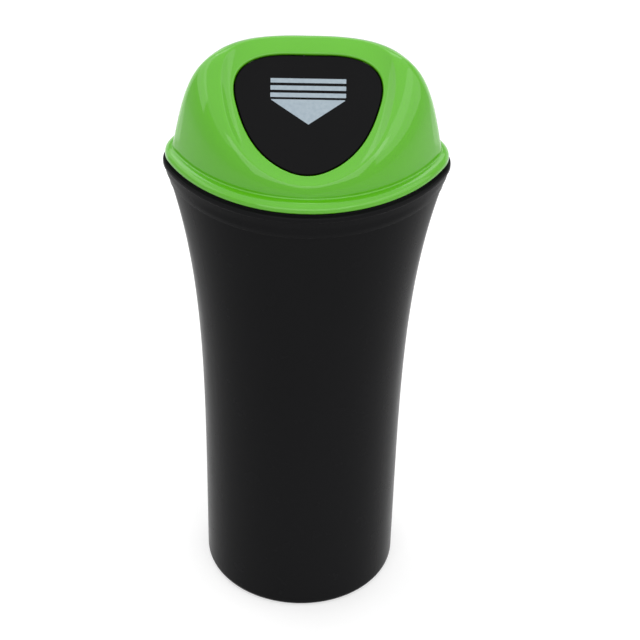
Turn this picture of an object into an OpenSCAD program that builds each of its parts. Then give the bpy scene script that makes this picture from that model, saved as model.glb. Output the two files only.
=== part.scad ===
// Push-flap bin for a car: a cup with a round foot and a flared oval mouth,
// and a dome lid whose sloping front carries a sprung flap.
// Millimetres. Z is up, the front of the bin faces -Y, and the foot stands on Z = 0.

/* [Cup] */
// Height of the cup, from its foot to the top of its lip
cup_h = 160; // [130:1:190]
// Diameter of the round foot
foot_d = 62.6; // [58:0.2:64]
// Width of the wall where it meets the collar
top_w = 85.5; // [80:0.5:88]
// Depth of the wall where it meets the collar
top_depth = 62.8; // [60:0.2:66]
// Wall thickness of the cup
wall = 1.8; // [1.2:0.1:2.4]
// Thickness of the cup's floor
floor_t = 2; // [1.2:0.1:4]
// Widening of the wall by its straight draft, on each side
draft = 1.8; // [0.5:0.1:3]
// How late the flare sets in: a high power keeps the lower wall straight
flare_power = 4.2; // [2:0.1:6]
// Radius of the rounded inner corner round the floor
floor_r = 3; // [1.5:0.1:5]
// Radius of the rounded bottom edge
foot_edge_r = 2.2; // [1:0.1:4]
// Depth of the recess under the foot
foot_recess = 1.2; // [0.6:0.1:1.8]
// Width of the foot ring round that recess
foot_ring_w = 3; // [2:0.1:6]

/* [Collar and lip] */
// Height of the collar with its lip
collar_h = 7.2; // [6:0.1:12]
// How far the collar steps out from the wall
collar_step = 0.5; // [0.3:0.05:1]
// Width of the lip, side to side
lip_w = 90; // [88.5:0.5:96]
// Depth of the lip, front to back
lip_depth = 65.2; // [64.8:0.2:70]
// Height of the rounded lip
lip_h = 2.8; // [2:0.1:3.6]
// How far the lip stands out from the collar
lip_proud = 0.7; // [0.3:0.05:1.2]
// Thickness of the lip, from its outside to the mouth
lip_t = 3; // [2.6:0.1:3.8]
// Height of the low rim inside the lip, which the lid rests on
rim_h = 1.4; // [0.8:0.1:2]
// How far that rim lies inside the lip's edge
rim_inset = 1.6; // [1.2:0.1:1.8]

/* [Lid edge] */
// How far the lid's bead lies inside the lip's edge
bead_inset = 0.9; // [0.6:0.1:1.4]
// Height of the bead
bead_h = 4.2; // [3:0.1:5.5]
// Height of the dark groove between the rim and the bead
groove_h = 0.9; // [0.5:0.05:1.5]
// Depth of that groove behind the bead
groove_depth = 1.1; // [0.8:0.05:1.2]
// Depth of the skirt that plugs into the mouth
skirt_h = 7; // [4:0.1:9]
// Wall thickness of the skirt
skirt_t = 1.6; // [1:0.1:2]
// Gap between the skirt and the mouth
skirt_gap = 0.3; // [0.2:0.05:0.5]

/* [Dome] */
// Ledge on top of the bead, outside the dome
dome_inset = 2.2; // [1.8:0.1:3]
// Height of the full dome over the bead, before its front is cut
dome_h = 34.1; // [31:0.1:40]
// Squareness of the dome from side to side
dome_square_x = 4; // [2.8:0.1:5]
// Squareness of the dome from front to back
dome_square_y = 1.8; // [1.6:0.1:2.4]
// Share of its width that the dome loses up to its top
dome_taper = 0.15; // [0:0.01:0.2]
// How far the top of the dome leans back
dome_lean = 4; // [0:0.1:6]
// Wall thickness of the lid
lid_wall = 1.8; // [1.4:0.1:2.2]
// Slope of the front face
face_slope = 40.3; // [36:0.1:44]
// Distance of the front face from the middle of the dome's base
face_dist = 21.3; // [20.8:0.1:22.5]
// Sharpness of the shoulder between the face and the dome
shoulder_sharpness = 12; // [8:1:24]
// How far the face is dished down to the edge of the opening
dish_depth = 2.8; // [2:0.1:3.2]
// Width of the dish beside the opening
dish_side = 5; // [3.5:0.1:6]
// Width of the dish above and below the opening
dish_end = 3.8; // [3:0.1:4.5]
// How hollow the dish is: 1 is straight
dish_curve = 1.6; // [1:0.1:2.5]

/* [Flap] */
// Reach of the opening above its middle
opening_top = 16.9; // [15.5:0.1:17.5]
// Reach of the opening's slanting sides
opening_side = 21; // [19:0.1:22]
// Reach of the opening below its middle
opening_bottom = 22.4; // [20:0.1:23.4]
// How far the slanting sides turn down
opening_turn = 16.1; // [12:0.1:22]
// Sharpness of the opening's corners
opening_sharpness = 2.5; // [2.2:0.1:3.5]
// Height of the opening's middle up the face
opening_mid = 6.5; // [6:0.1:7]
// Thickness of the flap
flap_t = 1.8; // [1.2:0.1:2.2]
// Gap round the flap
flap_gap = 0.4; // [0.3:0.05:0.6]
// How far the flap lies below the edge of the opening
flap_recess = 0.4; // [0:0.05:0.8]
// Width of the two tabs that stop the flap behind the opening's edge
tab_w = 5; // [3:0.5:8]
// How far those tabs reach behind the edge
tab_reach = 1.2; // [0.8:0.1:1.5]
// Thickness of those tabs
tab_t = 1.2; // [0.8:0.1:1.6]
// Gap between those tabs and the inside of the lid
tab_gap = 0.3; // [0.2:0.05:0.5]

/* [Hinge] */
// Diameter of the hinge pin
pin_d = 2; // [1.6:0.1:2.4]
// Length of the hinge pin
pin_l = 37; // [36:0.5:38]
// Running clearance of the flap on the pin, on the radius
pin_clearance = 0.07; // [0.03:0.01:0.1]
// Wall of the hinge barrels and ears round the pin
barrel_wall = 1.1; // [0.8:0.05:1.2]
// Distance of the pin below the flap's top edge
pin_drop = 4.6; // [4.2:0.1:6]
// Gap between the flap's inner face and the ears
ear_gap = 0.5; // [0.4:0.05:0.8]
// Thickness of each ear
ear_t = 2; // [1.4:0.1:2.4]
// Gap between the barrels and the ears
side_gap = 0.5; // [0.3:0.05:0.8]
// Gap between the two barrels, for the spring
spring_space = 5.2; // [4.4:0.1:7]
// Diameter of the spring's wire
wire_d = 0.5; // [0.4:0.05:0.6]
// Number of turns in the spring
spring_turns = 5; // [4:1:6]
// Length of the spring's leg under the flap
spring_leg = 9; // [7:0.5:11]

/* [Hidden] */

// Points round each oval ring, and sides of the round hinge parts
ring_n = 64;
round_n = 48;
// Shape of every oval: how much tighter its ends are than its long sides
oval_pinch = 1.6;
oval_join = atan2(1 + 1/(2*oval_pinch), 1 + oval_pinch);

// Heights that the pieces share
step_z = cup_h - collar_h;
seat_z = cup_h + rim_h;
bead_z = seat_z + groove_h;
dome_z = bead_z + bead_h;

// Half sizes that the pieces share
foot_r = foot_d/2;
lip_a = lip_w/2;
lip_b = lip_depth/2;
bead_a = lip_a - bead_inset;
bead_b = lip_b - bead_inset;
dome_a = bead_a - dome_inset;
dome_b = bead_b - dome_inset;
skirt_inset = lip_t + skirt_gap;

// Levels of the flap and the hinge, measured out from the dome's middle along the face's normal
opening_n = face_dist - dish_depth;
flap_n = opening_n - flap_recess;
barrel_r = pin_d/2 + barrel_wall;
pin_n = flap_n - flap_t - ear_gap - barrel_r;
pin_v = opening_mid + opening_top - flap_gap - pin_drop;
ear_u = pin_l/2 - ear_t;
barrel_l = ear_u - side_gap - spring_space/2;
// Level that clears the shell's inner face just above the opening
shell_n = opening_n - lid_wall - 0.4;
// How far the ears reach into the shell, and above the flap's top edge
ear_root = 1;
ear_up = 4.5;
// Level of the stop tabs' outer faces
tab_n = opening_n - lid_wall - tab_gap;
// Directions of the two stop tabs from the opening's middle
tab_turns = [-42, -138];
// Radius of the opening's rounded edge
opening_edge_r = 0.5;
// Direction out of the front face
face_normal = [0, -sin(face_slope), cos(face_slope)];

// Point of an oval of half sizes a and b where its outline faces the angle t
function oval_pt(a, b, t) =
  let (end_r = b - oval_pinch*(a - b), side_r = a + (a - b)/(2*oval_pinch))
  abs(sin(t)) < sin(oval_join)
    ? [sign(cos(t))*(a - end_r) + end_r*cos(t), end_r*sin(t)]
    : [side_r*cos(t), side_r*sin(t) - sign(sin(t))*(side_r - b)];

// Distance from the middle of such an oval to its outline, in the direction t
function oval_reach(a, b, t) =
  let (end_r = b - oval_pinch*(a - b), side_r = a + (a - b)/(2*oval_pinch),
       c = abs(cos(t)), s = abs(sin(t)), e = a - end_r, f = side_r - b,
       join = [e + end_r*cos(oval_join), end_r*sin(oval_join)])
  s*join[0] < c*join[1]
    ? e*c + sqrt(end_r*end_r - e*e*s*s)
    : sqrt(side_r*side_r - f*f*c*c) - f*s;

// One level ring of points, from its half sizes and height
function ring(size) = [for (i = [0:ring_n - 1]) concat(oval_pt(size[0], size[1], 360*i/ring_n), size[2])];

// Half sizes and height of the cup's wall at height z, d outside it
function wall_size(z, d = 0) =
  let (u = z/step_z, flare = top_w/2 - foot_r - draft)
  [foot_r + draft*u + flare*pow(u, flare_power) + d,
   foot_r + (top_depth/2 - foot_r)*pow(u, 3) + d,
   z];

// Half sizes and height of a ring that lies d inside the lip
function lip_size(d, z) = [lip_a - d, lip_b - d, z];

// A list from its last entry to its first
function reversed(list) = [for (i = [len(list) - 1:-1:0]) list[i]];

// Closed skin over rings stacked upwards: flat ends, or ends joined to each other when it is a loop
module skin(rings, loop = false) {
  n = len(rings[0]);
  m = len(rings);
  sides = [for (j = [0:m - (loop ? 1 : 2)], i = [0:n - 1])
    let (i2 = (i + 1) % n, j2 = (j + 1) % m)
    each [[j*n + i, j2*n + i, j2*n + i2], [j*n + i, j2*n + i2, j*n + i2]]];
  ends = loop ? [] : [[for (i = [0:n - 1]) i], [for (i = [n - 1:-1:0]) (m - 1)*n + i]];
  polyhedron(points = [for (r = rings) each r], faces = concat(ends, sides), convexity = 6);
}

// Moves what is drawn flat onto the front face: X across, Y up the face, Z out of it
module on_face() {
  translate([0, 0, dome_z]) rotate([face_slope, 0, 0]) children();
}

// The same move for a point
function face_pt(u, v, n) =
  [u, v*cos(face_slope) - n*sin(face_slope), dome_z + v*sin(face_slope) + n*cos(face_slope)];

// Distance of the opening's edge from its middle, in the direction t on the face
function opening_reach(t) =
  let (sides = [[90, opening_top], [-opening_turn, opening_side],
                [180 + opening_turn, opening_side], [-90, opening_bottom]],
       pull = [for (s = sides) pow(max(cos(t - s[0]), 0)/s[1], opening_sharpness)])
  pow(pull*[1, 1, 1, 1], -1/opening_sharpness);

// Outline of the opening, d outside its edge
function opening_pts(d) =
  [for (i = [0:ring_n - 1])
    let (t = 360*i/ring_n, r = opening_reach(t) + d)
    [r*cos(t), r*sin(t) + opening_mid]];

// Point of the dome's skin, d inside its outside, in the direction of the vector v from its middle
function dome_pt(v, d) =
  let (a = dome_a - d,
       plan = norm([v[0], v[1]])/oval_reach(a, dome_b - d, atan2(v[1], v[0])),
       across = abs(v[0])/a,
       up = max(v[2], 0)/(dome_h - d),
       px = dome_square_x,
       py = dome_square_y,
       arch = pow(pow(across, px) + pow(up, px), 1/px),
       w = v/pow(pow(plan, py) + pow(arch, py) - pow(across, py), 1/py),
       rise = w[2]/dome_h,
       shaped = [w[0]*(1 - dome_taper*rise), w[1] + dome_lean*pow(rise, 2), w[2]],
       level = max(shaped*face_normal, 0)/(face_dist - d),
       k = pow(1 + pow(level, shoulder_sharpness), -1/shoulder_sharpness))
  [shaped[0]*k, shaped[1]*k, dome_z + shaped[2]*k];

// Outline of the dish round the opening
dish_pts = [for (i = [0:ring_n - 1])
  let (t = 360*i/ring_n, r = opening_reach(t) + dish_end + (dish_side - dish_end)*pow(cos(t), 2))
  [r*cos(t), r*sin(t) + opening_mid]];

// Ring of the dome's skin at the share s of the way from the dish to the dome's base
function dome_ring(s, d) =
  [for (i = [0:ring_n - 1])
    let (from = face_pt(dish_pts[i][0], dish_pts[i][1], face_dist - d) - [0, 0, dome_z],
         to = concat(oval_pt(dome_a - d, dome_b - d, 360*i/ring_n), 0))
    dome_pt(from*(1 - s) + to*s, d)];

// Ring of the dish at the share s of the way from the opening to the dish's outline
function dish_ring(s, d) =
  let (edge = opening_ring(opening_edge_r, opening_n - d), outline = dome_ring(0, d))
  [for (i = [0:ring_n - 1])
    let (way = outline[i] - edge[i])
    edge[i] + way*s - face_normal*(way*face_normal)*(s - pow(s, dish_curve))];

// Ring on the wall of the opening, d outside its edge and at the level n
function opening_ring(d, n) = [for (p = opening_pts(d)) face_pt(p[0], p[1], n)];

// Cup: one moulding with a ringed foot, a flared wall, a stepped collar and a rounded lip
module bin_body() {
  ring_in = foot_r - foot_edge_r - foot_ring_w;
  under = [
    [ring_in - foot_recess, ring_in - foot_recess, foot_recess],
    [ring_in, ring_in, 0]];
  foot_edge = [for (t = [0:22.5:67.5])
    wall_size(foot_edge_r*(1 - cos(t)), -foot_edge_r*(1 - sin(t)))];
  outside = [for (u = [0, 0.2, 0.36, 0.5, 0.6, 0.69, 0.76, 0.82, 0.87, 0.915, 0.96, 1])
    wall_size(foot_edge_r + (step_z - foot_edge_r)*u)];
  lip_low = cup_h - lip_h;
  collar = [
    wall_size(step_z, 0) + [collar_step, collar_step, 0.25],
    lip_size(lip_proud + 0.35, (step_z + lip_low)/2 + 0.5),
    lip_size(lip_proud, lip_low - 0.3)];
  lip = [
    lip_size(0.25, lip_low),
    lip_size(0, lip_low + 0.7),
    lip_size(0, cup_h - 1),
    lip_size(0.35, cup_h - 0.3),
    lip_size(1, cup_h),
    lip_size(rim_inset, cup_h),
    lip_size(rim_inset, seat_z - 0.3),
    lip_size(rim_inset + 0.3, seat_z),
    lip_size(lip_t - 0.3, seat_z),
    lip_size(lip_t, seat_z - 0.3)];
  mouth_z = cup_h - skirt_h - 1;
  mouth = [lip_size(lip_t, mouth_z), wall_size(mouth_z - 1.5, -wall)];
  inside_top = mouth_z - 1.5;
  inside = [for (u = [0.94, 0.88, 0.8, 0.7, 0.57, 0.4, 0.2])
    wall_size(floor_t + floor_r + (inside_top - floor_t - floor_r)*u, -wall)];
  floor_edge = [for (t = [0:30:90])
    wall_size(floor_t + foot_recess + floor_r*(1 - sin(t)), -wall - floor_r*(1 - cos(t)))];
  color("#1b1b1d")
    skin([for (s = concat(under, foot_edge, outside, collar, lip, mouth, inside, floor_edge)) ring(s)]);
}

// Ear under the lid that holds one end of the pin: an arm from the shell down to the pin
module ear() {
  reach = opening_top - flap_gap + ear_up - (pin_v - opening_mid);
  arm_l = 3.2;
  difference() {
    union() {
      cylinder(h = ear_t, r = barrel_r, $fn = round_n);
      translate([0, -barrel_r, 0]) cube([reach, 2*barrel_r, ear_t]);
      translate([reach - arm_l, 0, 0]) cube([arm_l, opening_n - lid_wall + ear_root - pin_n, ear_t]);
    }
    translate([0, 0, -1]) cylinder(h = ear_t + 2, d = pin_d, $fn = round_n);
  }
}

// Lid: one moulding with a dome, a dished front with an opening, a bead, a groove and a skirt
module lid_shell() {
  front = [
    opening_ring(0, opening_n - opening_edge_r),
    opening_ring(0.3*opening_edge_r, opening_n - 0.3*opening_edge_r)];
  dish = [for (s = [0, 0.25, 0.5, 0.75]) dish_ring(s, 0)];
  dome = [for (s = [0, 0.05, 0.12, 0.2, 0.28, 0.37, 0.47, 0.58, 0.69, 0.79, 0.88, 0.95, 1]) dome_ring(s, 0)];
  bead = [
    [dome_a + 0.6, dome_b + 0.6, dome_z - 0.1],
    [bead_a - 1.4, bead_b - 1.4, dome_z - 0.1],
    [bead_a - 0.5, bead_b - 0.5, dome_z - 0.7],
    [bead_a - 0.08, bead_b - 0.08, dome_z - 1.7],
    [bead_a, bead_b, bead_z + 0.9],
    [bead_a - 0.35, bead_b - 0.35, bead_z]];
  groove = bead_inset + groove_depth;
  foot = cup_h - skirt_h;
  plug = [
    lip_size(groove, bead_z),
    lip_size(groove, seat_z),
    lip_size(skirt_inset, seat_z),
    lip_size(skirt_inset, foot + 1),
    lip_size(skirt_inset + 0.5, foot),
    lip_size(skirt_inset + skirt_t, foot),
    lip_size(skirt_inset + skirt_t, bead_z)];
  inner = [for (s = [1, 0.92, 0.82, 0.7, 0.57, 0.44, 0.3, 0.15, 0]) dome_ring(s, lid_wall)];
  back = [dish_ring(0.6, lid_wall), dish_ring(0.25, lid_wall), opening_ring(0, opening_n - lid_wall)];
  edge = [for (s = concat(bead, plug)) ring(s)];
  color("#69bf36") union() {
    skin(reversed(concat(front, dish, dome, edge, inner, back)), loop = true);
    for (side = [-1, 1])
      on_face() translate([side*(ear_u + ear_t/2) - ear_t/2, pin_v, pin_n]) rotate([90, 0, 90]) ear();
  }
}

// Flap: a plate in the opening's outline with two hinge barrels and two stop tabs
module push_flap() {
  color("#1e1e20") on_face() {
    difference() {
      union() {
        translate([0, 0, flap_n - flap_t])
          linear_extrude(flap_t) polygon(opening_pts(-flap_gap));
        for (side = [-1, 1])
          translate([side*(spring_space/2 + barrel_l/2), pin_v, pin_n]) rotate([0, 90, 0]) barrel();
        for (t = tab_turns)
          translate([0, opening_mid, tab_n - tab_t]) rotate([0, 0, t]) stop_tab(t);
      }
      translate([-pin_l/2, pin_v, pin_n]) rotate([0, 90, 0])
        cylinder(h = pin_l, r = pin_d/2 + pin_clearance, $fn = round_n);
    }
  }
}

// Tab on the flap's inner face that reaches behind the edge of the opening, with its root
module stop_tab(t) {
  inside = 3;
  root_l = 2.4;
  embed = 0.1;
  translate([opening_reach(t) - flap_gap - inside, -tab_w/2, 0]) {
    cube([inside + flap_gap + tab_reach, tab_w, tab_t]);
    cube([root_l, tab_w, flap_n - flap_t + embed - tab_n + tab_t]);
  }
}

// Hinge barrel of the flap, with the web that joins it to the plate
module barrel() {
  translate([0, 0, -barrel_l/2]) {
    cylinder(h = barrel_l, r = barrel_r, $fn = round_n);
    translate([-flap_n + flap_t + pin_n - 0.2, -barrel_r, 0])
      cube([flap_n - flap_t - pin_n + 0.2, 2*barrel_r, barrel_l]);
  }
}

// Hinge pin: a plain steel rod with chamfered ends
module hinge_pin() {
  chamfer = 0.3;
  color("silver") on_face() translate([-pin_l/2, pin_v, pin_n]) rotate([0, 90, 0])
    rotate_extrude($fn = round_n)
      polygon([[0, 0], [pin_d/2 - chamfer, 0], [pin_d/2, chamfer], [pin_d/2, pin_l - chamfer],
               [pin_d/2 - chamfer, pin_l], [0, pin_l]]);
}

// Return spring: a wire wound round the pin, with one leg under the flap and one under the shell
module return_spring() {
  coil_r = pin_d/2 + 0.35 + wire_d/2;
  pitch = wire_d + 0.1;
  leg_gap = 0.1;
  turn_n = 12;
  steps = spring_turns*turn_n;
  width = spring_turns*pitch;
  coil = [for (i = [0:steps]) let (t = 90 + 360*i/turn_n)
    [-width/2 + pitch*i/turn_n, coil_r*cos(t), coil_r*sin(t)]];
  flap_rise = flap_n - flap_t - pin_n - coil_r - wire_d/2 - leg_gap;
  lid_rise = shell_n - pin_n - coil_r - wire_d/2 - 3*leg_gap;
  lid_leg_l = pin_drop + flap_gap + 1.2;
  lid_leg = [for (k = [3:-1:1]) coil[0] + [0, lid_leg_l*k/3, lid_rise*k/3]];
  flap_leg = [for (k = [1:3]) coil[steps] + [0, -spring_leg*k/3, flap_rise*k/3]];
  path = concat(lid_leg, coil, flap_leg);
  color("silver") on_face() translate([0, pin_v, pin_n]) wire(path);
}

// Round wire along a path of points: each ring stands across the path
module wire(path) {
  n = len(path);
  side_n = 8;
  skin([for (i = [0:n - 1])
    let (d = path[min(i + 1, n - 1)] - path[max(i - 1, 0)],
         f = d/norm(d),
         x = cross(f, [1, 0, 0])/norm(cross(f, [1, 0, 0])),
         y = cross(f, x))
    [for (j = [0:side_n - 1]) let (t = 360*j/side_n) path[i] + (x*cos(t) + y*sin(t))*wire_d/2]]);
}

bin_body();
lid_shell();
push_flap();
hinge_pin();
return_spring();
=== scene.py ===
"""Looks of a push-flap bin for a car: a black cup, a green dome lid and a black flap.

Sizes are in millimetres until a mesh is made, and metres from there on. Z is up, the front
faces -Y and the foot stands on Z = 0, as in the frame that the script loads.
"""

import logging
import math
from collections.abc import Callable
from dataclasses import dataclass
from enum import Enum

import bmesh
import bpy
import numpy as np
from mathutils import Matrix, Vector
from mathutils.geometry import tessellate_polygon


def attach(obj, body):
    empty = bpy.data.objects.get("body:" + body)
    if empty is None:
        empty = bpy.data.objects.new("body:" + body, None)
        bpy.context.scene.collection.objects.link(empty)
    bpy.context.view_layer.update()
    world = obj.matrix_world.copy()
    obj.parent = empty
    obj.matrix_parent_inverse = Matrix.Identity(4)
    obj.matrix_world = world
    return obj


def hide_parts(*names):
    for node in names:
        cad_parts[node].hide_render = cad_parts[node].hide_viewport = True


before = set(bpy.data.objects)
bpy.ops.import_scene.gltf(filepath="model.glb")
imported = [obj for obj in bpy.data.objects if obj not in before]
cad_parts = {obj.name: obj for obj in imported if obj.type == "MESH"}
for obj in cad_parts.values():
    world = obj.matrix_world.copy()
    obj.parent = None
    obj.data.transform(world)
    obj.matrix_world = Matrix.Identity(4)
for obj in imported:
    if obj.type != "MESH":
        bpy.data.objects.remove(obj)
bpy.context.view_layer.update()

LOG = logging.getLogger("bin")
MM = 0.001
AROUND = 256
BROKEN_EDGE = 0.15
CORNER_ANGLE = math.radians(35)
POLE_SHARE = 0.02
SIDES = {-1: "left", 1: "right"}
NOISE_LOW, NOISE_HIGH = 0.3, 0.7
Place = Callable[[np.ndarray, np.ndarray, float], np.ndarray]
Triple = tuple[float, float, float]


class Wrap(Enum):
    """How the rows of a grid end: closed by a point at each end, or joined to each other."""

    POLES = "poles"
    LOOP = "loop"


class Body(Enum):
    """The moving bodies of the frame."""

    BIN = "bin"
    LID = "lid"
    FLAP = "flap"


def turn_angles(count: int = AROUND) -> np.ndarray:
    """Even angles from 0 up to a full turn, in radians, without the last."""
    return np.arange(count) * (2 * np.pi / count)


def quarter_turn(count: int) -> np.ndarray:
    """Even angles from 0 to a right angle, in radians."""
    return np.linspace(0, np.pi / 2, count)


def cosine_steps(count: int) -> np.ndarray:
    """Shares from 0 to 1 that lie closer together at both ends: (1 - cos(pi q)) / 2."""
    return 0.5 - 0.5 * np.cos(np.pi * np.linspace(0, 1, count))


@dataclass(frozen=True)
class Oval:
    """The four-arc oval that every section of the bin has.

    The ends are arcs of radius b - pinch (a - b), and the long sides are arcs of radius
    a + (a - b) / (2 pinch), where a and b are the half sizes. The arcs meet in a tangent.
    """

    pinch: float = 1.6

    def arcs(self, a: np.ndarray, b: np.ndarray) -> tuple[np.ndarray, np.ndarray, float]:
        """Radii of the end arcs and the side arcs, and the angle at which they meet."""
        join = math.atan2(1 + 1 / (2 * self.pinch), 1 + self.pinch)
        return b - self.pinch * (a - b), a + (a - b) / (2 * self.pinch), join

    def points(self, a: np.ndarray, b: np.ndarray, t: np.ndarray) -> np.ndarray:
        """Points of the outline where it faces the angle t.

        Each point is its arc's centre plus the arc's radius in the direction t.

        Args:
            a: Half sizes along X.
            b: Half sizes along Y.
            t: Angles of the outward normal.

        Returns:
            Array of X and Y in its last axis.
        """
        end_r, side_r, join = self.arcs(a, b)
        c, s = np.cos(t), np.sin(t)
        at_end = np.abs(s) < math.sin(join)
        x = np.where(at_end, np.sign(c) * (a - end_r) + end_r * c, side_r * c)
        y = np.where(at_end, end_r * s, side_r * s - np.sign(s) * (side_r - b))
        return np.stack([x, y], -1)

    def reach(self, a: float, b: float, t: np.ndarray) -> np.ndarray:
        """Distance from the middle to the outline in the direction t.

        It is the length of a ray to the end's circle or to the side's circle, whichever arc
        the ray meets.

        Args:
            a: Half size along X.
            b: Half size along Y.
            t: Directions of the rays.

        Returns:
            One distance for each ray.
        """
        end_r, side_r, join = self.arcs(a, b)
        c, s = np.abs(np.cos(t)), np.abs(np.sin(t))
        e, f = a - end_r, side_r - b
        to_end = e * c + np.sqrt(np.maximum(end_r**2 - (e * s) ** 2, 0))
        to_side = np.sqrt(np.maximum(side_r**2 - (f * c) ** 2, 0)) - f * s
        at_end = s * (e + end_r * math.cos(join)) < c * end_r * math.sin(join)
        return np.where(at_end, to_end, to_side)

    def rings(self, sizes: np.ndarray, t: np.ndarray) -> np.ndarray:
        """Level rings from rows of half size a, half size b and height.

        Args:
            sizes: Array of rows by 3.
            t: Angles of the outward normal round each ring.

        Returns:
            Array of rows by points by 3.
        """
        flat = self.points(sizes[:, 0:1], sizes[:, 1:2], t[None, :])
        height = np.broadcast_to(sizes[:, 2, None, None], (len(sizes), len(t), 1))
        return np.concatenate([flat, height], -1)


OVAL = Oval()


def rounded(stations: np.ndarray, radii: np.ndarray, arc_n: int = 9) -> np.ndarray:
    """Path through stations with its corners rounded.

    Each corner P becomes a conic arc ((1-s)^2 A + 2 w s (1-s) P + s^2 C) / (the same sum of
    the weights), from A to C at the same distance before and behind P, where w is the cosine
    of half the turn. That is an arc of a circle.

    Args:
        stations: Corner points, rows by any number of values.
        radii: Radius of each corner, 0 at a sharp one and at both ends.
        arc_n: Points along each arc.

    Returns:
        Points of the rounded path, with both end stations.
    """
    p = stations[1:-1]
    back, ahead = stations[:-2] - p, stations[2:] - p
    back_l = np.linalg.norm(back, axis=1, keepdims=True)
    ahead_l = np.linalg.norm(ahead, axis=1, keepdims=True)
    back, ahead = back / back_l, ahead / ahead_l
    opening = np.arccos(np.clip((back * ahead).sum(1, keepdims=True), -1, 1))
    cut = radii[1:-1, None] / np.tan(np.maximum(opening / 2, 1e-3))
    cut = np.minimum(cut, 0.49 * np.minimum(back_l, ahead_l))
    s = np.linspace(0, 1, arc_n)[None, :, None]
    w = np.sin(opening / 2)[:, None]
    a, c, mid = (p + back * cut)[:, None], (p + ahead * cut)[:, None], p[:, None]
    weight = (1 - s) ** 2 + 2 * w * s * (1 - s) + s**2
    arcs = ((1 - s) ** 2 * a + 2 * w * s * (1 - s) * mid + s**2 * c) / weight
    path = np.concatenate([stations[:1], arcs.reshape(-1, stations.shape[1]), stations[-1:]])
    step = np.linalg.norm(np.diff(path, axis=0), axis=1)
    return path[np.concatenate([[True], step > 1e-5])]


def turned(corners: list[tuple[float, ...]], arc_n: int) -> np.ndarray:
    """Rounded path through corners, each given as its radius and then its values."""
    table = np.array(corners, float)
    return rounded(table[:, 1:], table[:, 0], arc_n)


def filled(path: np.ndarray, longest: float) -> np.ndarray:
    """Path with extra points, so that no step is longer than a given length.

    Args:
        path: Points of the path.
        longest: Longest step.

    Returns:
        The points of the path with even points between them.
    """
    length = np.concatenate([[0], np.cumsum(np.linalg.norm(np.diff(path, axis=0), axis=1))])
    count = np.maximum(np.ceil(np.diff(length) / longest).astype(int), 1)
    part = np.repeat(np.arange(len(count)), count)
    rank = np.arange(count.sum()) - np.repeat(np.cumsum(count) - count, count)
    at = np.append(length[part] + rank / count[part] * np.diff(length)[part], length[-1])
    return np.stack([np.interp(at, length, path[:, k]) for k in range(path.shape[1])], -1)


def grid_faces(rows: int, cols: int, wrap_rows: bool) -> np.ndarray:
    """Quads of a grid whose columns close round it.

    Args:
        rows: Number of rings.
        cols: Points in each ring.
        wrap_rows: Whether the last ring joins the first.

    Returns:
        Array of quads by 4 vertex numbers.
    """
    j = np.arange(rows if wrap_rows else rows - 1)[:, None]
    i = np.arange(cols)[None, :]
    j2, i2 = (j + 1) % rows, (i + 1) % cols
    return np.stack([j * cols + i, j * cols + i2, j2 * cols + i2, j2 * cols + i], -1).reshape(-1, 4)


def signed_volume(points: np.ndarray, quads: np.ndarray, tris: np.ndarray) -> float:
    """Volume inside a closed mesh: a sixth of the sum of a . (b x c) over its triangles.

    Args:
        points: Corner points.
        quads: Faces of 4 corners.
        tris: Faces of 3 corners.

    Returns:
        The volume, below 0 where the faces look inwards.
    """
    three = np.concatenate([quads[:, [0, 1, 2]], quads[:, [0, 2, 3]], tris])
    a, b, c = points[three[:, 0]], points[three[:, 1]], points[three[:, 2]]
    return float((a * np.cross(b, c)).sum() / 6)


def placed(name: str, data: bpy.types.ID) -> bpy.types.Object:
    """Makes an object of a mesh, a light or a camera and puts it in the scene.

    Args:
        name: Name of the new object.
        data: What it shows.

    Returns:
        The object, at the origin.
    """
    piece = bpy.data.objects.new(name, data)
    bpy.context.scene.collection.objects.link(piece)
    return piece


def shell(name: str, rings: np.ndarray, wrap: Wrap, sharp: float = 180.0) -> bpy.types.Object:
    """Closed mesh over a grid of points, with its faces outwards.

    Args:
        name: Name of the new object.
        rings: Points in millimetres, rings by points by 3.
        wrap: How the first and the last ring end.
        sharp: Angle in degrees above which an edge stays sharp.

    Returns:
        The object, at the origin, with its place in its mesh.
    """
    rows, cols, _ = rings.shape
    points = rings.reshape(-1, 3) * MM
    quads = grid_faces(rows, cols, wrap is Wrap.LOOP)
    tris = np.zeros((0, 3), int)
    if wrap is Wrap.POLES:
        first, last = len(points), len(points) + 1
        points = np.concatenate([points, [rings[0].mean(0) * MM, rings[-1].mean(0) * MM]])
        i = np.arange(cols)
        i2 = (i + 1) % cols
        top = (rows - 1) * cols
        tris = np.concatenate([
            np.stack([np.full(cols, first), i2, i], -1),
            np.stack([np.full(cols, last), top + i, top + i2], -1),
        ])
    if signed_volume(points, quads, tris) < 0:
        quads, tris = quads[:, ::-1], tris[:, ::-1]
    mesh = bpy.data.meshes.new(name)
    mesh.from_pydata(points.tolist(), [], quads.tolist() + tris.tolist())
    mesh.validate()
    mesh.shade_smooth()
    if sharp < 180:
        mesh.set_sharp_from_angle(angle=math.radians(sharp))
    return placed(name, mesh)


def circle(radius: float, count: int = 48) -> np.ndarray:
    """Points of a circle round the origin of a flat outline."""
    t = turn_angles(count)
    return radius * np.stack([np.cos(t), np.sin(t)], -1)


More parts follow.
